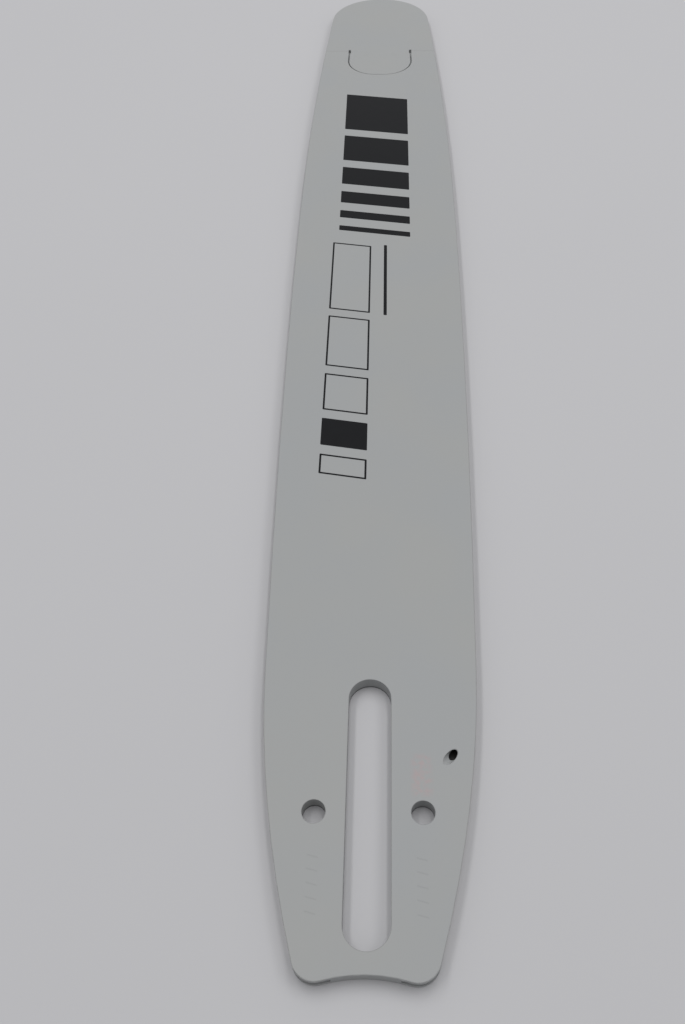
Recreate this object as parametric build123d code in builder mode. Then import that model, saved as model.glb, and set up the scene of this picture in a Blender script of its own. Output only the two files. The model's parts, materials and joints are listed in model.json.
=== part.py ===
"""Guide bar with a replaceable sprocket nose, lying flat on one face.

The frame has +Y towards the nose, +Z up and its origin under the middle of the bar, on the surface it lies on.
All sizes are in millimetres.
"""
import os
from math import cos, floor, pi, radians, sin, tan

from build123d import *

os.makedirs("parts", exist_ok=True)

# Bar plate
bar_length = 527.0
bar_thickness = 4.7
bar_width = 68.9
widest_from_tail = 305.0
shoulder_from_tail = 81.0
shoulder_width = 61.1
edge_break = 0.15

# Tail, two round lobes with a hollow between them
lobe_spacing = 24.6
lobe_radius = 5.8
hollow_depth = 1.6

# Chain groove round the long edges
groove_width = 1.6
groove_depth = 8.0

# Clamping slot, adjuster holes and slanting oil holes
slot_width = 12.0
slot_length = 72.0
slot_from_tail = 6.7
adjuster_diameter = 6.3
adjuster_spacing = 28.7
adjuster_from_tail = 40.3
oil_diameter = 2.7
oil_from_centre = 22.0
oil_from_tail = 55.5
oil_slant = 30.0
oil_heading = 41.0

# Nose and the tongue that fixes it to the bar
nose_radius = 27.1
joint_from_tip = 65.0
tongue_neck_width = 32.3
tongue_depth = 26.2
tongue_flare = 1.3
tongue_corner_radius = 14.2
tongue_side_gap = 0.8
tongue_end_gap = 0.25
joint_gap = 0.05
relief_width = 1.2
relief_length = 4.4
relief_from_joint = 0.8
tongue_rivet_spacing = 15.6
tongue_rivet_from_joint = 4.4

# Star wheel
tooth_count = 11
tooth_recess = 0.5
tooth_depth = 7.6
tooth_tip_width = 3.6
tooth_tip_round = 0.6
gullet_radius = 3.4
wheel_side_play = 0.1
wheel_clearance = 0.8

# Bearing
hub_diameter = 18.0
roller_diameter = 2.9
roller_clearance = 0.05
roller_spacing_gap = 0.1

# Flush rivets, alike in the hub and the tongue
rivet_diameter = 3.2
rivet_head_diameter = 3.8
rivet_head_depth = 0.3
hub_rivet_count = 4
hub_rivet_circle = 10.4

# Places worked out from the sizes
tail_y = -bar_length / 2
tip_y = bar_length / 2
nose_y = tip_y - nose_radius
joint_y = tip_y - joint_from_tip
widest_y = tail_y + widest_from_tail
shoulder_y = tail_y + shoulder_from_tail
lip_thickness = (bar_thickness - groove_width) / 2
upper_lip_z = lip_thickness + groove_width
nose_centre = Vector(0, nose_y)
overrun = bar_thickness

# Circles of the outline's right side, each tangent to the next
half_width = bar_width / 2
nose_run = nose_y - widest_y
front_radius = (half_width**2 + nose_run**2 - nose_radius**2) / (2 * (half_width - nose_radius))
front_centre = Vector(half_width - front_radius, widest_y)
nose_normal = (nose_centre - front_centre).normalized()

shoulder = Vector(shoulder_width / 2, shoulder_y)
shoulder_drop = half_width - shoulder.X
shoulder_run = widest_y - shoulder_y
rear_radius = (shoulder_run**2 + shoulder_drop**2) / (2 * shoulder_drop)
rear_centre = Vector(half_width - rear_radius, widest_y)
shoulder_normal = (shoulder - rear_centre).normalized()

lobe_centre = Vector(lobe_spacing / 2, tail_y + lobe_radius)
lobe_end = lobe_centre - Vector(0, lobe_radius)
lobe_to_shoulder = shoulder - lobe_centre
taper_reach = lobe_to_shoulder.dot(shoulder_normal) - lobe_radius
taper_radius = (lobe_to_shoulder.length**2 - lobe_radius**2) / (2 * taper_reach)
taper_centre = shoulder - shoulder_normal * taper_radius
taper_end = taper_centre + (lobe_centre - taper_centre).normalized() * taper_radius

hollow_radius = (lobe_centre.X**2 - 2 * lobe_radius * hollow_depth + hollow_depth**2) / (2 * hollow_depth)
hollow_top = Vector(0, tail_y + hollow_depth)
hollow_centre = hollow_top - Vector(0, hollow_radius)
hollow_end = hollow_centre + (lobe_centre - hollow_centre).normalized() * hollow_radius


def draw_arc(start, end, centre, radius):
    """Draws the short way round a circle from start to end."""
    middle = centre + ((start + end) / 2 - centre).normalized() * radius
    ThreePointArc(start, middle, end)


def draw_right_edge(tail_end, inset):
    """Draws the long right edge from its tail end to the nose, set in from the outline."""
    shoulder_point = rear_centre + shoulder_normal * (rear_radius - inset)
    widest_point = Vector(half_width - inset, widest_y)
    nose_point = front_centre + nose_normal * (front_radius - inset)
    draw_arc(tail_end, shoulder_point, taper_centre, taper_radius - inset)
    draw_arc(shoulder_point, widest_point, rear_centre, rear_radius - inset)
    draw_arc(widest_point, nose_point, front_centre, front_radius - inset)
    return nose_point


def draw_tongue(side_gap, end_gap):
    """Draws a closed U that reaches back from the joint line and widens a little, grown by its gaps."""
    neck = tongue_neck_width / 2 + side_gap
    depth = tongue_depth + end_gap
    foot = neck + depth * tan(radians(tongue_flare))
    foot_y = joint_y - depth
    top_y = joint_y + joint_gap
    corner_radius = tongue_corner_radius + side_gap
    Polyline((-neck, joint_y), (-neck, top_y), (neck, top_y), (neck, joint_y))
    FilletPolyline((neck, joint_y), (foot, foot_y), (-foot, foot_y), (-neck, joint_y), radius=corner_radius)


# Whole outline of the bar with its nose
with BuildSketch() as outline:
    with BuildLine():
        nose_point = draw_right_edge(taper_end, 0)
        ThreePointArc(nose_point, nose_centre + Vector(1, 1).normalized() * nose_radius, (0, tip_y))
        draw_arc(taper_end, lobe_end, lobe_centre, lobe_radius)
        draw_arc(lobe_end, hollow_end, lobe_centre, lobe_radius)
        draw_arc(hollow_end, hollow_top, hollow_centre, hollow_radius)
        mirror(about=Plane.YZ)
    make_face()

# Part of the outline ahead of the joint line
with BuildSketch() as head:
    add(outline.sketch)
    with Locations((0, joint_y)):
        Rectangle(2 * bar_width, 2 * joint_from_tip, align=(Align.CENTER, Align.MIN), mode=Mode.INTERSECT)

# Floor of the groove, which runs out through the tail and stops behind the star wheel
wheel_tip_radius = nose_radius - tooth_recess
core_tail_y = tail_y - overrun
core_taper_radius = taper_radius - groove_depth
core_tail_x = taper_centre.X + (core_taper_radius**2 - (core_tail_y - taper_centre.Y) ** 2) ** 0.5
core_tail = Vector(core_tail_x, core_tail_y)
with BuildSketch() as core:
    with BuildLine():
        core_nose = draw_right_edge(core_tail, groove_depth)
        Line(core_nose, (0, core_nose.Y))
        Line(core_tail, (0, core_tail_y))
        mirror(about=Plane.YZ)
    make_face()
    add(outline.sketch, mode=Mode.INTERSECT)
    with Locations(nose_centre):
        Circle(wheel_tip_radius + wheel_clearance, mode=Mode.SUBTRACT)

# Rivet with a countersunk head at each face, as long as the bar is thick
with BuildPart() as rivet:
    with BuildSketch(Plane.XZ):
        with BuildLine():
            Polyline(
                (0, 0),
                (rivet_head_diameter / 2, 0),
                (rivet_diameter / 2, rivet_head_depth),
                (rivet_diameter / 2, bar_thickness - rivet_head_depth),
                (rivet_head_diameter / 2, bar_thickness),
                (0, bar_thickness),
                close=True,
            )
        make_face()
    revolve(axis=Axis.Z)

hub_rivet_places = [
    nose_centre + Vector(hub_rivet_circle / 2, 0).rotate(Axis.Z, 360 * (turn + 0.5) / hub_rivet_count)
    for turn in range(hub_rivet_count)
]
tongue_rivet_y = joint_y - tongue_rivet_from_joint
tongue_rivet_places = [Vector(side * tongue_rivet_spacing / 2, tongue_rivet_y) for side in (-1, 1)]

# Reliefs at the ends of the tongue's seam, drawn out along the bar
relief_x = (tongue_neck_width + tongue_side_gap) / 2
relief_places = [Vector(side * relief_x, joint_y - relief_from_joint) for side in (-1, 1)]

# Bar body
with BuildPart() as bar_body:
    for lip_z in (0, upper_lip_z):
        with BuildSketch(Plane.XY.offset(lip_z)):
            add(outline.sketch)
            with Locations((0, joint_y - joint_gap)):
                Rectangle(2 * bar_width, 2 * joint_from_tip, align=(Align.CENTER, Align.MIN), mode=Mode.SUBTRACT)
            with BuildLine():
                draw_tongue(tongue_side_gap, tongue_end_gap)
            make_face(mode=Mode.SUBTRACT)
            with Locations(*relief_places):
                SlotOverall(relief_length, relief_width, rotation=90, mode=Mode.SUBTRACT)
        extrude(amount=lip_thickness)
    with BuildSketch(Plane.XY.offset(lip_thickness)):
        add(core.sketch)
    extrude(amount=groove_width)
    with BuildSketch():
        with Locations((0, tail_y + slot_from_tail + slot_length / 2)):
            SlotOverall(slot_length, slot_width, rotation=90)
        for side in (-1, 1):
            with Locations((side * adjuster_spacing / 2, tail_y + adjuster_from_tail)):
                Circle(adjuster_diameter / 2)
    extrude(amount=bar_thickness, mode=Mode.SUBTRACT)
    for face_index in (0, -1):
        rim = bar_body.faces().sort_by(Axis.Z)[face_index].outer_wire().edges()
        chamfer([edge for edge in rim if edge.center().Y < joint_y - 2 * tongue_depth], length=edge_break)
    with Locations(*tongue_rivet_places):
        add(rivet.part, mode=Mode.SUBTRACT)
    for side, face_z in ((1, bar_thickness), (-1, 0)):
        level = cos(radians(oil_slant))
        aim = Vector(
            side * level * sin(radians(oil_heading)),
            level * cos(radians(oil_heading)),
            -side * sin(radians(oil_slant)),
        )
        mouth = Vector(side * oil_from_centre, tail_y + oil_from_tail, face_z)
        drop = upper_lip_z - oil_diameter / 2 * level
        with BuildSketch(Plane(mouth - aim * oil_diameter, z_dir=aim)):
            Circle(oil_diameter / 2)
        extrude(amount=oil_diameter + drop / sin(radians(oil_slant)), mode=Mode.SUBTRACT)
bar_body.part.label = "bar_body"
export_step(bar_body.part, "parts/bar_body.step")

# Nose cheeks, one on each face, let into the bar's recess by their tongues
for cheek_name, cheek_z, face_index in (("nose_cheek_lower", 0, 0), ("nose_cheek_upper", upper_lip_z, -1)):
    with BuildPart() as cheek:
        with BuildSketch(Plane.XY.offset(cheek_z)):
            add(head.sketch)
            with BuildLine():
                draw_tongue(0, 0)
            make_face()
            with Locations(*relief_places):
                SlotOverall(relief_length, relief_width, rotation=90, mode=Mode.SUBTRACT)
        extrude(amount=lip_thickness)
        rim = cheek.faces().sort_by(Axis.Z)[face_index].outer_wire().edges()
        chamfer([edge for edge in rim if edge.center().Y > joint_y + joint_gap], length=edge_break)
        with Locations(*hub_rivet_places, *tongue_rivet_places):
            add(rivet.part, mode=Mode.SUBTRACT)
    cheek.part.label = cheek_name
    export_step(cheek.part, f"parts/{cheek_name}.step")

# Star wheel, whose bore is the bearing's outer race
roller_path_radius = hub_diameter / 2 + roller_clearance + roller_diameter / 2
race_radius = roller_path_radius + roller_diameter / 2 + roller_clearance
root_radius = wheel_tip_radius - tooth_depth
gullet_half_angle = 180 / tooth_count - tooth_tip_width / 2 / wheel_tip_radius * 180 / pi
gullet_mouth = 2 * wheel_tip_radius * sin(radians(gullet_half_angle))
with BuildSketch() as gullet:
    with Locations((root_radius + gullet_radius, 0)):
        Circle(gullet_radius)
    with Locations((wheel_tip_radius * cos(radians(gullet_half_angle)), 0)):
        Rectangle(tooth_depth, gullet_mouth, align=(Align.MIN, Align.CENTER))
    make_hull()

wheel_z = lip_thickness + wheel_side_play
wheel_thickness = groove_width - 2 * wheel_side_play
with BuildPart() as nose_sprocket:
    with BuildSketch(Plane.XY.offset(wheel_z)):
        with Locations(nose_centre):
            Circle(wheel_tip_radius)
            Circle(race_radius, mode=Mode.SUBTRACT)
            with PolarLocations(0, tooth_count, start_angle=90):
                add(gullet.sketch, mode=Mode.SUBTRACT)
    extrude(amount=wheel_thickness)
    tip_edges = [
        edge
        for edge in nose_sprocket.edges().filter_by(Axis.Z)
        if (edge.center() - nose_centre - Vector(0, 0, edge.center().Z)).length > wheel_tip_radius - tooth_recess / 2
    ]
    fillet(tip_edges, radius=tooth_tip_round)
nose_sprocket.part.label = "nose_sprocket"
export_step(nose_sprocket.part, "parts/nose_sprocket.step")

# Bearing hub, gripped between the cheeks
with BuildPart() as bearing_hub:
    with BuildSketch(Plane.XY.offset(lip_thickness)):
        with Locations(nose_centre):
            Circle(hub_diameter / 2)
    extrude(amount=groove_width)
    with Locations(*hub_rivet_places):
        add(rivet.part, mode=Mode.SUBTRACT)
bearing_hub.part.label = "bearing_hub"
export_step(bearing_hub.part, "parts/bearing_hub.step")

# Full row of rollers, as many as fit round the hub
roller_count = floor(2 * pi * roller_path_radius / (roller_diameter + roller_spacing_gap))
for number in range(roller_count):
    roller_place = nose_centre + Vector(roller_path_radius, 0).rotate(Axis.Z, 360 * number / roller_count)
    roller_name = f"roller_{number + 1:02d}"
    with BuildPart() as roller:
        with BuildSketch(Plane.XY.offset(wheel_z)):
            with Locations(roller_place):
                Circle(roller_diameter / 2)
        extrude(amount=wheel_thickness)
    roller.part.label = roller_name
    export_step(roller.part, f"parts/{roller_name}.step")

# Rivets, set flush with both faces
for group_name, places in (("hub_rivets", hub_rivet_places), ("tongue_rivets", tongue_rivet_places)):
    with BuildPart() as rivet_group:
        with Locations(*places):
            add(rivet.part)
    rivet_group.part.label = group_name
    export_step(rivet_group.part, f"parts/{group_name}.step")
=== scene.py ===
"""Dresses the guide bar: satin grey paint, bare ground rails, a steel star wheel and a plain print."""
import json
import logging
import math
from dataclasses import dataclass, replace
from enum import Enum
from typing import Iterable, Mapping, Optional, Sequence, Union

import bpy
import bmesh
from mathutils import Matrix, Vector


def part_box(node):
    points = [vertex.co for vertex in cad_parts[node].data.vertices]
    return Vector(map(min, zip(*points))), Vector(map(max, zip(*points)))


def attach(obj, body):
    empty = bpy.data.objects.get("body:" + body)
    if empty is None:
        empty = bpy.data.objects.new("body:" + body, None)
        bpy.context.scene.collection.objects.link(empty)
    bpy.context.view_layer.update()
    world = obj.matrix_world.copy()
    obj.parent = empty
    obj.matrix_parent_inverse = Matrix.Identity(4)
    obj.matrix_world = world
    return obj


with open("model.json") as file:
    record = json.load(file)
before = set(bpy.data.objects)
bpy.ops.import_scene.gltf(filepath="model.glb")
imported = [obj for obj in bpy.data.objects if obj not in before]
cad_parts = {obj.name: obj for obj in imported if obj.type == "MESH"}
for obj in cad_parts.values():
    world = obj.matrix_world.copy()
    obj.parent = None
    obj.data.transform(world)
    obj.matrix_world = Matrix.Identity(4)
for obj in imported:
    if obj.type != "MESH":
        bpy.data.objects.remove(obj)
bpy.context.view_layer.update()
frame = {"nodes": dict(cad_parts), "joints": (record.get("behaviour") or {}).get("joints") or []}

log = logging.getLogger("guide_bar")

MM = 0.001
Colour = tuple[float, float, float]
Operand = Union[float, "Signal"]
BLACK: Colour = (0.0, 0.0, 0.0)

# The middle of a noise field, the layers of a detailed one, and the edge of a mask with no soft part
NOISE_MIDDLE = 0.5
FINE_LAYERS = 3.0
HARD_EDGE = 0.001

# The places of a Mix node's sockets when it mixes colours
MIX_SHARE = 0
MIX_FIRST = 6
MIX_SECOND = 7
MIX_RESULT = 2


class Fill(Enum):
    """How a printed shape is inked."""

    SOLID = "solid"
    OUTLINE = "outline"


class Lay(Enum):
    """Which way the grinding marks of a steel surface run."""

    ALONG_BAR = "along"
    ROUND_WHEEL = "round"


class Signal:
    """One output of a shader node, which takes part in Python arithmetic."""

    def __init__(self, graph: "ShaderGraph", socket: bpy.types.NodeSocket) -> None:
        """Keeps the graph that the output belongs to, and its socket."""
        self.graph = graph
        self.socket = socket

    def __add__(self, other: Operand) -> "Signal":
        """Adds a number or another signal."""
        return self.graph.math("ADD", self, other)

    def __radd__(self, other: float) -> "Signal":
        """Adds the signal to a number."""
        return self.graph.math("ADD", other, self)

    def __sub__(self, other: Operand) -> "Signal":
        """Takes away a number or another signal."""
        return self.graph.math("SUBTRACT", self, other)

    def __rsub__(self, other: float) -> "Signal":
        """Takes the signal away from a number."""
        return self.graph.math("SUBTRACT", other, self)

    def __mul__(self, other: Operand) -> "Signal":
        """Multiplies by a number or another signal."""
        return self.graph.math("MULTIPLY", self, other)

    def __rmul__(self, other: float) -> "Signal":
        """Multiplies a number by the signal."""
        return self.graph.math("MULTIPLY", other, self)

    def __truediv__(self, other: Operand) -> "Signal":
        """Divides by a number or another signal."""
        return self.graph.math("DIVIDE", self, other)

    def __rtruediv__(self, other: float) -> "Signal":
        """Divides a number by the signal."""
        return self.graph.math("DIVIDE", other, self)

    def __abs__(self) -> "Signal":
        """Gives the size of the signal without its sign."""
        return self.graph.math("ABSOLUTE", self)

    def __or__(self, other: "Signal") -> "Signal":
        """Joins two masks, so that either of them is enough."""
        return self.graph.math("MAXIMUM", self, other)

    def fraction(self) -> "Signal":
        """Gives what is left of the signal past its last whole number."""
        return self.graph.math("FRACT", self)

    def root(self) -> "Signal":
        """Gives the square root of the signal."""
        return self.graph.math("SQRT", self)

    def vary(self, middle: float, spread: float) -> "Signal":
        """Turns a field round 0.5 into a value round a middle, with a whole range as wide as spread."""
        return middle - spread / 2 + self * spread

    def above(self, limit: Operand, soft: float) -> "Signal":
        """Makes a mask of the places where the signal passes a limit.

        Args:
            limit: The value at the middle of the mask's edge.
            soft: The width of that edge, in the signal's own units.

        Returns:
            A signal from 0 below the limit to 1 above it.
        """
        return self.graph.math("ADD", (self - limit) / soft, 0.5, clamp=True)

    def below(self, limit: Operand, soft: float) -> "Signal":
        """Makes a mask of the places where the signal stays under a limit, with an edge as wide as soft."""
        return 1.0 - self.above(limit, soft)


class ShaderGraph:
    """The node tree of a material or of the sky, written from Python expressions."""

    def __init__(self, owner: Union[bpy.types.Material, bpy.types.World]) -> None:
        """Empties the node tree of its owner.

        Args:
            owner: The material or the sky that the tree belongs to.
        """
        owner.use_nodes = True
        self.owner = owner
        self.tree = owner.node_tree
        self.tree.nodes.clear()

    @classmethod
    def of_material(cls, name: str) -> "ShaderGraph":
        """Starts the tree of a new material of that name."""
        return cls(bpy.data.materials.new(name))

    def add(
        self,
        kind: str,
        settings: Optional[Mapping[str, object]] = None,
        sockets: Optional[Mapping[Union[str, int], object]] = None,
        output: Union[str, int] = 0,
    ) -> Signal:
        """Adds a node of any kind.

        Args:
            kind: The node's type name.
            settings: The node's own settings, which are set first.
            sockets: The values or signals of its inputs, by name or place.
            output: The output to hand back, by name or place.

        Returns:
            The signal of that output.
        """
        node = self.tree.nodes.new(kind)
        for key, value in (settings or {}).items():
            setattr(node, key, value)
        for key, value in (sockets or {}).items():
            self.feed(node.inputs[key], value)
        return Signal(self, node.outputs[output])

    def feed(self, socket: bpy.types.NodeSocket, value: object) -> None:
        """Links a signal to an input, or sets the input to a plain value.

        Args:
            socket: The input.
            value: A signal, a number, a vector or a colour.
        """
        if isinstance(value, Signal):
            self.tree.links.new(value.socket, socket)
        elif socket.type == "RGBA":
            socket.default_value = (*value, 1.0)
        else:
            socket.default_value = value

    def math(self, operation: str, first: Operand, second: Operand = 0.0, clamp: bool = False) -> Signal:
        """Adds one Math node.

        Args:
            operation: The node's operation.
            first: Its first value.
            second: Its second value, which some operations leave unused.
            clamp: Whether the result is kept between 0 and 1.

        Returns:
            The signal of the result.
        """
        settings = {"operation": operation, "use_clamp": clamp}
        return self.add("ShaderNodeMath", settings, {0: first, 1: second})

    def place(self) -> Signal:
        """Gives the surface's place in the part's own frame, in millimetres."""
        metres = self.add("ShaderNodeTexCoord", output="Object")
        return self.add("ShaderNodeVectorMath", {"operation": "SCALE"}, {"Vector": metres, "Scale": 1 / MM})

    def split(self, vector: Signal) -> tuple[Signal, Signal, Signal]:
        """Splits a vector into its three values."""
        node = self.add("ShaderNodeSeparateXYZ", sockets={0: vector}).socket.node
        return tuple(Signal(self, socket) for socket in node.outputs)

    def joined(self, x: Operand, y: Operand, z: Operand) -> Signal:
        """Joins three values into a vector."""
        return self.add("ShaderNodeCombineXYZ", sockets={0: x, 1: y, 2: z})

    def noise(self, vector: Signal, grain: float, detail: float = 2.0) -> Signal:
        """Makes a soft random field.

        Args:
            vector: The place to read it at, in millimetres.
            grain: The size of its blobs, in millimetres.
            detail: How many finer layers it has.

        Returns:
            A signal round 0.5.
        """
        sockets = {"Vector": vector, "Scale": 1 / grain, "Detail": detail}
        return self.add("ShaderNodeTexNoise", {"noise_dimensions": "3D"}, sockets, "Fac")

    def blend(self, share: Operand, first: object, second: object) -> Signal:
        """Mixes two colours, all the second where the share is 1."""
        sockets = {MIX_SHARE: share, MIX_FIRST: first, MIX_SECOND: second}
        return self.add("ShaderNodeMix", {"data_type": "RGBA"}, sockets, MIX_RESULT)

    def shade(self, colour: object, amount: Signal) -> Signal:
        """Multiplies a colour by a number.

        Args:
            colour: The colour, or a signal of one.
            amount: The number, where 1 leaves the colour as it is.

        Returns:
            The signal of the new colour.
        """
        settings = {"data_type": "RGBA", "blend_type": "MULTIPLY"}
        sockets = {MIX_SHARE: 1.0, MIX_FIRST: colour, MIX_SECOND: amount}
        return self.add("ShaderNodeMix", settings, sockets, MIX_RESULT)

    def bump(self, height: Signal, depth: float, strength: float = 1.0) -> Signal:
        """Raises the surface by a field.

        Args:
            height: The field.
            depth: How high a value of 1 stands, in millimetres.
            strength: How much of that shows.

        Returns:
            The normal of the raised surface.
        """
        sockets = {"Strength": strength, "Distance": depth * MM, "Height": height}
        return self.add("ShaderNodeBump", sockets=sockets)

    def finish(self, sockets: Mapping[str, object]) -> bpy.types.Material:
        """Ends the tree in a Principled shader.

        Args:
            sockets: The values or signals of the shader's inputs.

        Returns:
            The finished material.
        """
        self.end("ShaderNodeOutputMaterial", self.add("ShaderNodeBsdfPrincipled", sockets=sockets))
        return self.owner

    def end(self, kind: str, shader: Signal) -> None:
        """Ends the tree in an output node of that kind, which shows the shader."""
        output = self.tree.nodes.new(kind)
        self.feed(output.inputs["Surface"], shader)

    def in_view(self) -> Signal:
        """Makes a mask of the rays that come from the camera or from a glossy surface."""
        camera = self.add("ShaderNodeLightPath", output="Is Camera Ray")
        return camera | self.add("ShaderNodeLightPath", output="Is Glossy Ray")


@dataclass(frozen=True)
class StampRow:
    """A row of plain slanting strokes pressed into the face. Sizes are in millimetres."""

    centre: tuple[float, float]
    count: int = 5
    pitch: float = 3.4
    height: float = 2.8
    width: float = 0.3
    lean: float = 0.25
    end_edge: float = 0.2
    row_edge: float = 0.01

    def mask(self, x: Signal, y: Signal) -> Signal:
        """Makes the mask of the strokes.

        Args:
            x: The place across the bar.
            y: The place along the bar.

        Returns:
            A signal that is 1 in a stroke and 0 beside it.
        """
        across = x - self.centre[0]
        along = y - self.centre[1]
        step = (along + across * self.lean) / self.pitch + self.count / 2
        stroke = (abs(step.fraction() - 0.5) * self.pitch).below(self.width / 2, self.width)
        in_row = abs(along).below(self.count * self.pitch / 2, self.row_edge)
        return stroke * in_row * abs(across).below(self.height / 2, self.end_edge)


@dataclass(frozen=True)
class Smudge:
    """A rubbed patch of marker ink. Sizes are in millimetres."""

    centre: tuple[float, float]
    size: tuple[float, float]
    colour: Colour = (0.5, 0.25, 0.25)
    strength: float = 0.22
    soft: float = 1.6
    streak_grain: float = 1.3
    streak_edge: float = 0.25

    def mask(self, graph: ShaderGraph, place: Signal, x: Signal, y: Signal) -> Signal:
        """Makes the mask of the patch.

        Args:
            graph: The tree to add to.
            place: The place on the surface.
            x: Its part across the bar.
            y: Its part along the bar.

        Returns:
            A signal that is the ink's share of the colour.
        """
        across = abs(x - self.centre[0]).below(self.size[0] / 2, self.soft)
        along = abs(y - self.centre[1]).below(self.size[1] / 2, self.soft)
        streaks = graph.noise(place, self.streak_grain, FINE_LAYERS).above(NOISE_MIDDLE, self.streak_edge)
        return across * along * streaks * self.strength


@dataclass(frozen=True)
class GroundSteel:
    """Bare steel with fine grinding marks. Sizes are in millimetres."""

    name: str
    lay: Lay
    colour: Colour = (0.44, 0.43, 0.42)
    roughness: float = 0.36
    mark_width: float = 0.09
    mark_length: float = 9.0
    mark_depth: float = 0.01
    mark_strength: float = 0.25
    mark_gloss: float = 0.06
    film_grain: float = 2.5
    film_gloss: float = 0.1
    tone: float = 0.35
    centre_y: float = 0.0

    def marks(self, graph: ShaderGraph, x: Signal, y: Signal, z: Signal) -> Signal:
        """Makes the field of grinding marks.

        Args:
            graph: The tree to add to.
            x: The place across the bar.
            y: The place along the bar.
            z: The place above the floor.

        Returns:
            A signal round 0.5 that is drawn out along the marks.
        """
        stretch = self.mark_width / self.mark_length
        if self.lay is Lay.ALONG_BAR:
            place = graph.joined(x, y * stretch, z)
        else:
            ahead = y - self.centre_y
            radius = (x * x + ahead * ahead).root()
            place = graph.joined(radius, z * stretch, 0.0)
        return graph.noise(place, self.mark_width, FINE_LAYERS)

    def ground_colour(self, graph: ShaderGraph, marks: Signal) -> Signal:
        """Gives the steel's colour, lighter and darker by its grinding marks."""
        return graph.shade(self.colour, marks.vary(1.0, self.tone))

    def build(self) -> bpy.types.Material:
        """Makes the material for a piece that is bare all over.

        Returns:
            The finished material.
        """
        graph = ShaderGraph.of_material(self.name)
        place = graph.place()
        x, y, z = graph.split(place)
        marks = self.marks(graph, x, y, z)
        film = graph.noise(place, self.film_grain, FINE_LAYERS)
        return graph.finish(
            {
                "Base Color": self.ground_colour(graph, marks),
                "Metallic": 1.0,
                "Roughness": film.vary(self.roughness, self.film_gloss) + marks.vary(0.0, self.mark_gloss),
                "Normal": graph.bump(marks, self.mark_depth, self.mark_strength),
            }
        )


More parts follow.
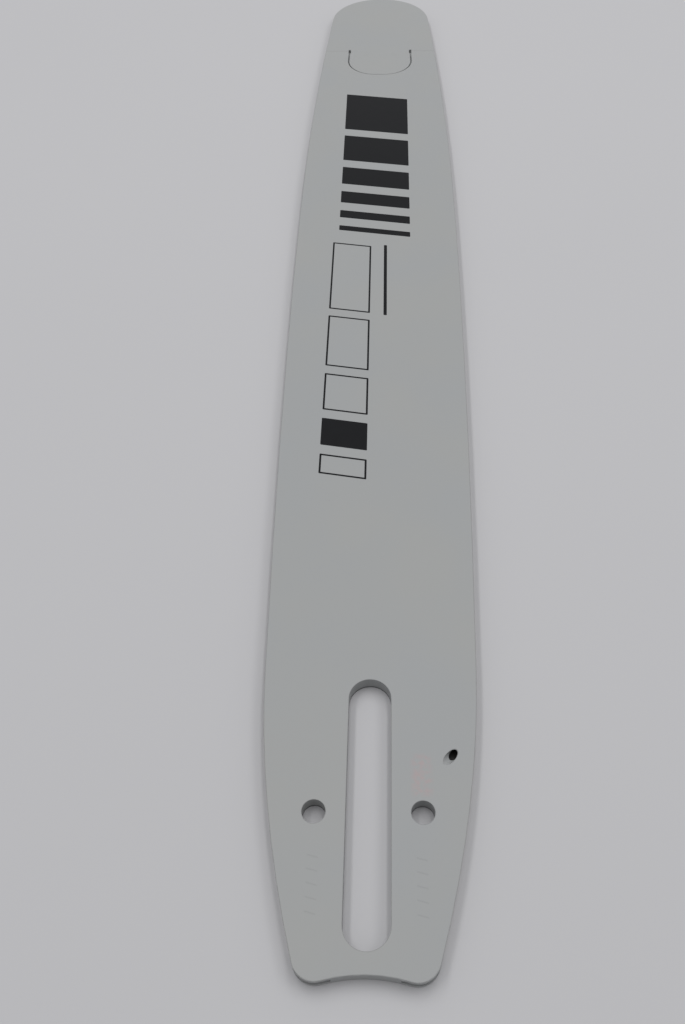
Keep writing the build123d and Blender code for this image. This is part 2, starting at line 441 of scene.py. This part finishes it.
@dataclass(frozen=True)
class SatinPaint:
    """Smooth satin grey paint over the plate, with its rails ground bare. Sizes are in millimetres."""

    name: str
    rail_steel: GroundSteel
    thickness: float
    groove_width: float
    nose_y: float

    # The paint's colour, gloss and fine surface
    colour: Colour = (0.318, 0.327, 0.332)
    warm_colour: Colour = (0.322, 0.327, 0.324)
    warm_edge: float = 0.3
    roughness: float = 0.48
    specular: float = 0.25
    mottle_grain: float = 38.0
    mottle: float = 0.035
    peel_grain: float = 1.4
    peel_height: float = 0.004
    peel_gloss: float = 0.06

    # Dust specks, one in a share of the cells
    nib_pitch: float = 13.0
    nib_radius: float = 0.16
    nib_share: float = 0.14
    nib_tone: float = 0.3

    # Streaks on upright walls, and painted shade at the foot of the slot's and the holes' walls, where they
    # meet the floor
    wall_facing: float = 0.3
    wall_edge: float = 0.1
    wall_streak: float = 0.12
    streak_grain: float = 0.5
    streak_stretch: float = 0.2
    foot_shade_height: float = 0.6
    foot_shade_edge: float = 0.4
    foot_shade_tone: float = 0.65
    foot_shade_middle_y: float = -212.0
    foot_shade_reach: float = 33.0

    # Wear along sharp edges, darkened also as painted shade of their rounding
    edge_reach: float = 0.4
    edge_samples: int = 8
    edge_turn: float = 0.92
    edge_soft: float = 0.16
    edge_wear_and_shade: float = 0.0

    # Marks on the upper face
    top_depth: float = 0.05
    top_edge: float = 0.02
    stamp_depth: float = 0.03
    stamp_shade: float = 0.08
    stamps: Sequence[StampRow] = ()
    smudges: Sequence[Smudge] = ()

    # The bare rails, with the paint that wraps over their corners, and the groove between them, near black
    # as oil and as painted shade
    rail_from_centre: float = 18.6
    rail_gloss: float = 0.1
    zone_edge: float = 0.2
    wrap: float = 0.17
    wrap_edge: float = 0.03
    chip_grain: float = 0.8
    chip: float = 0.12
    oil_and_shade_colour: Colour = (0.014, 0.013, 0.012)
    groove_edge: float = 0.04
    oil_hole: tuple[float, float] = (22.6, -207.3)
    oil_reach: float = 4.0

    def build(self) -> bpy.types.Material:
        """Makes the material, in the order of paint, marks on the paint, and bare rails.

        Returns:
            The finished material.
        """
        graph = ShaderGraph.of_material(self.name)
        place = graph.place()
        x, y, z = graph.split(place)
        on_top = z.above(self.thickness - self.top_depth, self.top_edge)
        pressed = [row.mask(x, y) * on_top for row in self.stamps]

        colour = self.paint_colour(graph, place, pressed)
        for smudge in self.smudges:
            colour = graph.blend(smudge.mask(graph, place, x, y) * on_top, colour, smudge.colour)
        peel = graph.noise(place, self.peel_grain)
        height = peel * self.peel_height
        for strokes in pressed:
            height = height - strokes * self.stamp_depth

        rails, groove = self.ground_zones(graph, place)
        marks = self.rail_steel.marks(graph, x, y, z)
        steel = self.rail_steel.ground_colour(graph, marks)
        satin = peel.vary(self.roughness, self.peel_gloss)
        ground = marks.vary(self.rail_steel.roughness, self.rail_gloss)
        return graph.finish(
            {
                # Oil and painted shade: the groove between the rails is coloured near black.
                "Base Color": graph.blend(groove, graph.blend(rails, colour, steel), self.oil_and_shade_colour),
                "Metallic": rails,
                "Roughness": satin + (ground - satin) * rails,
                "Specular IOR Level": self.specular,
                "Normal": graph.bump(height, 1.0),
            }
        )

    def paint_colour(self, graph: ShaderGraph, place: Signal, pressed: Sequence[Signal]) -> Signal:
        """Makes the paint's colour, with mottle, specks, marked walls, pressed strokes and worn edges, and
        painted shade in the strokes, at the foot of the walls and along the edges.

        Args:
            graph: The tree to add to.
            place: The place on the surface.
            pressed: The masks of the pressed strokes.

        Returns:
            The colour of the paint.
        """
        x, y, z = graph.split(place)
        normal = graph.add("ShaderNodeNewGeometry", output="Normal")
        mottle = graph.noise(place, self.mottle_grain, FINE_LAYERS)
        shade = mottle.vary(1.0, self.mottle) * (1.0 - self.nibs(graph, place) * self.nib_tone)
        # Painted shade: the pressed strokes are darkened, as shade in their dents.
        for strokes in pressed:
            shade = shade * (1.0 - strokes * self.stamp_shade)
        streaks = graph.noise(graph.joined(x, y, z * self.streak_stretch), self.streak_grain)
        _, _, upward = graph.split(normal)
        walls = abs(upward).below(self.wall_facing, self.wall_edge)
        shade = shade * (1.0 - walls * streaks * self.wall_streak)
        # Painted shade: the foot of the walls round the slot and the holes is darkened, where the walls
        # meet the floor.
        beside_slot = abs(x).below(self.rail_from_centre, self.zone_edge)
        beside_slot = beside_slot * abs(y - self.foot_shade_middle_y).below(self.foot_shade_reach, self.zone_edge)
        foot_shade = walls * beside_slot * z.below(self.foot_shade_height, self.foot_shade_edge)
        shade = shade * (1.0 - foot_shade * self.foot_shade_tone)
        # Painted shade and wear: thin lines along sharp edges are darkened.
        if self.edge_wear_and_shade:
            shade = shade * (1.0 - self.edges(graph, normal) * self.edge_wear_and_shade)
        warm = mottle.above(NOISE_MIDDLE, self.warm_edge)
        return graph.shade(graph.blend(warm, self.colour, self.warm_colour), shade)

    def edges(self, graph: ShaderGraph, normal: Signal) -> Signal:
        """Makes the mask of the thin lines along sharp edges, where the paint is darkened as wear and as
        painted shade.

        Args:
            graph: The tree to add to.
            normal: The way that the surface faces.

        Returns:
            A signal that is 1 at an edge and 0 away from it.
        """
        samples = {"samples": self.edge_samples}
        rounded = graph.add("ShaderNodeBevel", samples, {"Radius": self.edge_reach * MM})
        sockets = {0: normal, 1: rounded}
        turn = graph.add("ShaderNodeVectorMath", {"operation": "DOT_PRODUCT"}, sockets, "Value")
        return turn.below(self.edge_turn, self.edge_soft)

    def nibs(self, graph: ShaderGraph, place: Signal) -> Signal:
        """Makes the mask of the few dust specks in the paint.

        Args:
            graph: The tree to add to.
            place: The place on the surface.

        Returns:
            A signal that is 1 in a speck.
        """
        sockets = {"Vector": place, "Scale": 1 / self.nib_pitch}
        distance = graph.add("ShaderNodeTexVoronoi", sockets=sockets, output="Distance")
        cell_colour = graph.add("ShaderNodeTexVoronoi", sockets=sockets, output="Color")
        draw, _, _ = graph.split(cell_colour)
        chosen = draw.above(1.0 - self.nib_share, HARD_EDGE)
        return (distance * self.nib_pitch).below(self.nib_radius, self.nib_radius) * chosen

    def ground_zones(self, graph: ShaderGraph, place: Signal) -> tuple[Signal, Signal]:
        """Makes the masks of the two zones that are cut after painting.

        Args:
            graph: The tree to add to.
            place: The place on the surface.

        Returns:
            The mask of the bare outer rails and the mask of the groove between them, which takes the
            near-black colour of oil and painted shade.
        """
        x, y, z = graph.split(place)
        outer = abs(x).above(self.rail_from_centre, self.zone_edge) | y.above(self.nose_y, self.zone_edge)
        oil_x = abs(abs(x) - self.oil_hole[0]).below(self.oil_reach, self.zone_edge)
        oil_y = abs(y - self.oil_hole[1]).below(self.oil_reach, self.zone_edge)
        from_middle = abs(z - self.thickness / 2)
        chips = graph.noise(place, self.chip_grain) * self.chip
        under_paint = from_middle.below(self.thickness / 2 - self.wrap + chips, self.wrap_edge)
        groove = outer * from_middle.below(self.groove_width / 2 + self.groove_edge, self.groove_edge)
        return outer * under_paint * (1.0 - groove) * (1.0 - oil_x * oil_y), groove


@dataclass(frozen=True)
class PrintInk:
    """Satin black screen ink, a little uneven."""

    name: str
    colour: Colour = (0.005, 0.0054, 0.0066)
    roughness: float = 0.5
    specular: float = 0.1
    cloud_grain: float = 4.0
    cloud_tone: float = 0.5
    cloud_gloss: float = 0.1
    screen_grain: float = 0.25
    screen_layers: float = 1.0
    screen_depth: float = 0.01
    screen_strength: float = 0.3

    def build(self) -> bpy.types.Material:
        """Makes the material.

        Returns:
            The finished material.
        """
        graph = ShaderGraph.of_material(self.name)
        place = graph.place()
        cloud = graph.noise(place, self.cloud_grain, FINE_LAYERS)
        screen = graph.noise(place, self.screen_grain, self.screen_layers)
        return graph.finish(
            {
                "Base Color": graph.shade(self.colour, cloud.vary(1.0, self.cloud_tone)),
                "Roughness": cloud.vary(self.roughness, self.cloud_gloss),
                "Specular IOR Level": self.specular,
                "Normal": graph.bump(screen, self.screen_depth, self.screen_strength),
            }
        )


@dataclass(frozen=True)
class FloorSheet:
    """Pale matt sheet under the bar, which fades into the backdrop far away. Sizes are in millimetres."""

    name: str
    backdrop: Colour
    colour: Colour = (0.502, 0.5, 0.514)
    cloud_grain: float = 160.0
    cloud: float = 0.02
    fade_from: float = 380.0
    fade_to: float = 1400.0

    def build(self) -> bpy.types.Material:
        """Makes the material.

        Returns:
            The finished material.
        """
        graph = ShaderGraph.of_material(self.name)
        place = graph.place()
        x, y, _ = graph.split(place)
        cloud = graph.noise(place, self.cloud_grain)
        sheet = graph.shade(self.colour, cloud.vary(1.0, self.cloud))
        distance = (x * x + y * y).root()
        fade = distance.above((self.fade_from + self.fade_to) / 2, self.fade_to - self.fade_from)
        fade = fade * graph.in_view()
        return graph.finish(
            {
                "Base Color": graph.blend(fade, sheet, BLACK),
                "Roughness": 1.0,
                "Specular IOR Level": 0.0,
                "Emission Color": graph.blend(fade, BLACK, self.backdrop),
                "Emission Strength": 1.0,
            }
        )


def dress(nodes: Iterable[str], material: bpy.types.Material) -> None:
    """Gives a material to nodes of the frame.

    Args:
        nodes: The names of the nodes.
        material: What they are all finished in.
    """
    for name in nodes:
        frame["nodes"][name].material_slots[0].material = material
        log.info("%s is finished in %s", name, material.name)


def deselect_all() -> None:
    """Leaves nothing selected in object mode."""
    bpy.ops.object.select_all(action="DESELECT")


def select_right_half(piece: bpy.types.Object, from_x: float) -> None:
    """Selects the points of a piece in edit mode that lie on the right of a line along the bar.

    Args:
        piece: The piece that is being edited.
        from_x: Where the line is, in metres.
    """
    bpy.ops.mesh.select_all(action="DESELECT")
    mesh = bmesh.from_edit_mesh(piece.data)
    for point in mesh.verts:
        point.select = point.co.x > from_x
    mesh.select_flush_mode()
    bmesh.update_edit_mesh(piece.data)


@dataclass(frozen=True)
class PrintedShape:
    """One slanting shape of the print. Sizes are in millimetres."""

    left: float
    right: float
    front_y: float
    length: float
    fill: Fill


@dataclass
class PrintedStripes:
    """The plain black print on the upper face: fading stripes, their outlined echo and a thin line."""

    face_z: float
    ink: PrintInk
    film: float = 0.015
    slant: float = 0.17
    corner: float = 0.35
    corner_segments: int = 4
    line_width: float = 0.7
    stripe_sides: tuple[float, float] = (-16.6, 14.3)
    stripe_front: float = 151.0
    stripe_lengths: tuple[float, ...] = (34.0, 22.0, 14.0, 9.0, 5.5, 3.5)
    stripe_gap: float = 6.0
    frame_sides: tuple[float, float] = (-18.8, -2.4)
    frame_front: float = 24.0
    frame_lengths: tuple[float, ...] = (44.0, 29.0, 19.0, 13.0, 9.0)
    frame_gap: float = 4.2
    solid_frame: int = 3
    thin_line: PrintedShape = PrintedShape(left=3.0, right=4.3, front_y=22.0, length=46.0, fill=Fill.SOLID)

    def build(self) -> None:
        """Makes the three groups of print and lets them ride on the bar."""
        stripes = self.run(
            self.stripe_sides, self.stripe_front, self.stripe_lengths, self.stripe_gap, Fill.SOLID
        )
        frames = self.run(
            self.frame_sides, self.frame_front, self.frame_lengths, self.frame_gap, Fill.OUTLINE
        )
        frames[self.solid_frame] = replace(frames[self.solid_frame], fill=Fill.SOLID)
        self.group("printed_stripes", stripes)
        self.group("printed_frames", frames)
        self.group("printed_line", [self.thin_line])

    def run(
        self,
        sides: tuple[float, float],
        front_y: float,
        lengths: Sequence[float],
        gap: float,
        fill: Fill,
    ) -> list[PrintedShape]:
        """Lays shapes in a row from the nose towards the tail.

        Args:
            sides: The left and right side of each shape.
            front_y: Where the first shape starts.
            lengths: The length of each shape.
            gap: The bare paint between two shapes.
            fill: How they are inked.

        Returns:
            The shapes in order.
        """
        shapes = []
        for length in lengths:
            shapes.append(PrintedShape(*sides, front_y, length, fill))
            front_y -= length + gap
        return shapes

    def group(self, name: str, shapes: Sequence[PrintedShape]) -> None:
        """Makes one piece of several printed shapes.

        Args:
            name: The piece's name.
            shapes: What it is made of.
        """
        made = [self.model(shape) for shape in shapes]
        deselect_all()
        for part in made:
            part.select_set(True)
        bpy.context.view_layer.objects.active = made[0]
        if len(made) > 1:
            bpy.ops.object.join()
        piece = bpy.context.view_layer.objects.active
        piece.name = name
        piece.data.name = name
        piece.data.materials.append(self.ink_material())
        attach(piece, "bar")
        log.info("%s has %d shapes", name, len(shapes))

    def ink_material(self) -> bpy.types.Material:
        """Gives the one ink material that all the print shares."""
        return bpy.data.materials.get(self.ink.name) or self.ink.build()

    def model(self, shape: PrintedShape) -> bpy.types.Object:
        """Models one slanting shape as a thin closed film on the face.

        Args:
            shape: The shape to model.

        Returns:
            The new piece, with its place in its mesh.
        """
        width = shape.right - shape.left
        middle_x = (shape.left + shape.right) / 2
        middle_y = shape.front_y - shape.length / 2
        middle = Vector((middle_x, middle_y, self.face_z - self.film))
        deselect_all()
        bpy.ops.mesh.primitive_plane_add(size=1.0, location=middle * MM)
        piece = bpy.context.view_layer.objects.active
        piece.scale = Vector((width, shape.length, 1.0)) * MM
        bpy.ops.object.transform_apply(location=True, rotation=True, scale=True)
        bpy.ops.object.mode_set(mode="EDIT")
        select_right_half(piece, middle_x * MM)
        bpy.ops.transform.translate(value=(0.0, -width * self.slant * MM, 0.0))
        bpy.ops.mesh.select_all(action="SELECT")
        bpy.ops.mesh.bevel(offset=self.corner * MM, affect="VERTICES", segments=self.corner_segments)
        bpy.ops.mesh.select_all(action="SELECT")
        if shape.fill is Fill.OUTLINE:
            bpy.ops.mesh.inset(thickness=self.line_width * MM)
            bpy.ops.mesh.delete(type="FACE")
            bpy.ops.mesh.select_all(action="SELECT")
        rise = (0.0, 0.0, 2 * self.film * MM)
        bpy.ops.mesh.extrude_region_move(TRANSFORM_OT_translate={"value": rise})
        bpy.ops.mesh.select_all(action="SELECT")
        bpy.ops.mesh.normals_make_consistent(inside=False)
        bpy.ops.object.mode_set(mode="OBJECT")
        return piece


@dataclass
class BarPlate:
    """The long plate: its painted faces, its bare rails and the marks near its tail."""

    paint: SatinPaint
    nodes: tuple[str, ...] = ("bar_body",)

    def build(self) -> None:
        """Finishes the plate."""
        dress(self.nodes, self.paint.build())


@dataclass
class RivetedNose:
    """The two cheeks of the nose and the rivets that hold them."""

    paint: SatinPaint
    rivet_paint: SatinPaint
    cheeks: tuple[str, ...] = ("nose_cheek_upper", "nose_cheek_lower")
    rivets: tuple[str, ...] = ("hub_rivets", "tongue_rivets")

    def build(self) -> None:
        """Finishes the cheeks and the rivets."""
        dress(self.cheeks, self.paint.build())
        dress(self.rivets, self.rivet_paint.build())


@dataclass
class StarWheel:
    """The star wheel and the bearing that it runs on."""

    wheel_steel: GroundSteel
    bearing_steel: GroundSteel
    wheel: str = "nose_sprocket"
    hub: str = "bearing_hub"
    roller_prefix: str = "roller_"

    def build(self) -> None:
        """Finishes the wheel, the hub and the rollers."""
        rollers = sorted(name for name in frame["nodes"] if name.startswith(self.roller_prefix))
        dress([self.wheel], self.wheel_steel.build())
        dress([self.hub, *rollers], self.bearing_steel.build())


@dataclass(frozen=True)
class StripLamp:
    """One long soft lamp that hangs level and shines straight down. Sizes and places are in metres."""

    name: str
    place: tuple[float, float, float]
    width: float
    length: float
    watts: float

    def build(self) -> None:
        """Hangs the lamp with its length along the bar."""
        data = bpy.data.lights.new(self.name, "AREA")
        data.shape = "RECTANGLE"
        data.size = self.width
        data.size_y = self.length
        data.energy = self.watts
        lamp = bpy.data.objects.new(self.name, data)
        bpy.context.scene.collection.objects.link(lamp)
        lamp.location = self.place


@dataclass
class Studio:
    """The pale floor, the lamps and the camera at the photograph's place.

    The floor's size and the camera's near limit are in metres, the other sizes and places in millimetres.
    """

    floor_finish: FloorSheet
    floor_size: float = 6.0
    floor_drop: float = 0.02
    image_width: float = 685.0
    image_height: float = 1024.0
    focal_pixels: float = 907.08
    centre_pixel_x: float = 366.0
    camera_place: tuple[float, float, float] = (4.087, -308.241, 239.023)
    pitch: float = 38.254
    yaw: float = -1.97
    roll: float = 1.286
    sensor: float = 36.0
    clip_start: float = 0.01
    sky_light: Colour = (0.46, 0.4625, 0.467)
    lamps: tuple[StripLamp, ...] = (
        StripLamp("left_lamp", place=(-0.63, 0.41, 1.5), width=0.24, length=1.65, watts=7.6),
        StripLamp("middle_lamp", place=(-0.15, -0.11, 1.5), width=0.08, length=1.35, watts=1.8),
        StripLamp("right_lamp", place=(0.345, 0.45, 1.5), width=0.165, length=1.65, watts=6.2),
        StripLamp("far_lamp", place=(1.17, 0.225, 1.5), width=0.73, length=1.28, watts=6.0),
    )

    def build(self) -> None:
        """Makes the floor, the sky, the lamps and the camera."""
        self.build_floor()
        self.build_sky()
        for lamp in self.lamps:
            lamp.build()
        self.build_camera()
        bpy.context.scene.view_settings.view_transform = "Standard"

    def build_floor(self) -> None:
        """Lays the sheet just under the bar."""
        deselect_all()
        bpy.ops.mesh.primitive_plane_add(size=self.floor_size, location=(0.0, 0.0, -self.floor_drop * MM))
        floor = bpy.context.view_layer.objects.active
        floor.name = "floor"
        bpy.ops.object.transform_apply(location=True, rotation=True, scale=True)
        floor.data.materials.append(self.floor_finish.build())

    def build_sky(self) -> None:
        """Makes an even sky, which the camera and mirrors see as a pale backdrop."""
        world = bpy.data.worlds.new("studio_sky")
        bpy.context.scene.world = world
        graph = ShaderGraph(world)
        colour = graph.blend(graph.in_view(), self.sky_light, self.floor_finish.backdrop)
        graph.end("ShaderNodeOutputWorld", graph.add("ShaderNodeBackground", sockets={"Color": colour}))

    def build_camera(self) -> None:
        """Sets the camera where the photograph was taken from."""
        data = bpy.data.cameras.new("camera")
        data.sensor_width = self.sensor
        data.lens = self.focal_pixels / self.image_height * self.sensor
        data.shift_x = (self.image_width / 2 - self.centre_pixel_x) / self.image_height
        data.clip_start = self.clip_start
        camera = bpy.data.objects.new("camera", data)
        bpy.context.scene.collection.objects.link(camera)
        turn = (
            Matrix.Rotation(math.radians(-self.yaw), 4, "Z")
            @ Matrix.Rotation(math.radians(self.pitch), 4, "X")
            @ Matrix.Rotation(math.radians(-self.roll), 4, "Z")
        )
        camera.matrix_world = Matrix.Translation(Vector(self.camera_place) * MM) @ turn
        bpy.context.scene.camera = camera


def main() -> None:
    """Builds the finishes and the pieces in order, then the studio."""
    logging.basicConfig(level=logging.INFO, format="%(name)s: %(message)s")
    low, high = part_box("bar_body")
    thickness = (high.z - low.z) / MM
    wheel_joint = next(joint for joint in frame["joints"] if joint["name"] == "wheel_spin")
    nose_y = wheel_joint["pos_m"][1] / MM

    hub_low, hub_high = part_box("bearing_hub")
    shared = {
        "rail_steel": GroundSteel("rail_steel", Lay.ALONG_BAR),
        "thickness": thickness,
        "groove_width": (hub_high.z - hub_low.z) / MM,
        "nose_y": nose_y,
    }
    stamps = (StampRow(centre=(-14.0, -241.5)), StampRow(centre=(13.8, -242.0)))
    smudge = Smudge(centre=(14.2, -213.0), size=(5.0, 11.0))
    # The plate's sharp edges are darkened as wear and as painted shade.
    plate_paint = SatinPaint("plate_paint", edge_wear_and_shade=0.3, stamps=stamps, smudges=(smudge,), **shared)
    nose_paint = SatinPaint("nose_paint", **shared)
    rivet_paint = SatinPaint("rivet_paint", colour=(0.306, 0.315, 0.32), **shared)

    BarPlate(plate_paint).build()
    RivetedNose(nose_paint, rivet_paint).build()
    wheel_steel = GroundSteel("wheel_steel", Lay.ROUND_WHEEL, colour=(0.36, 0.355, 0.35), centre_y=nose_y)
    bearing_steel = GroundSteel("bearing_steel", Lay.ROUND_WHEEL, roughness=0.25, centre_y=nose_y)
    StarWheel(wheel_steel, bearing_steel).build()
    PrintedStripes(high.z / MM, PrintInk("print_ink")).build()
    Studio(FloorSheet("floor_sheet", backdrop=(0.7, 0.7, 0.708))).build()


if __name__ == "__main__":
    main()
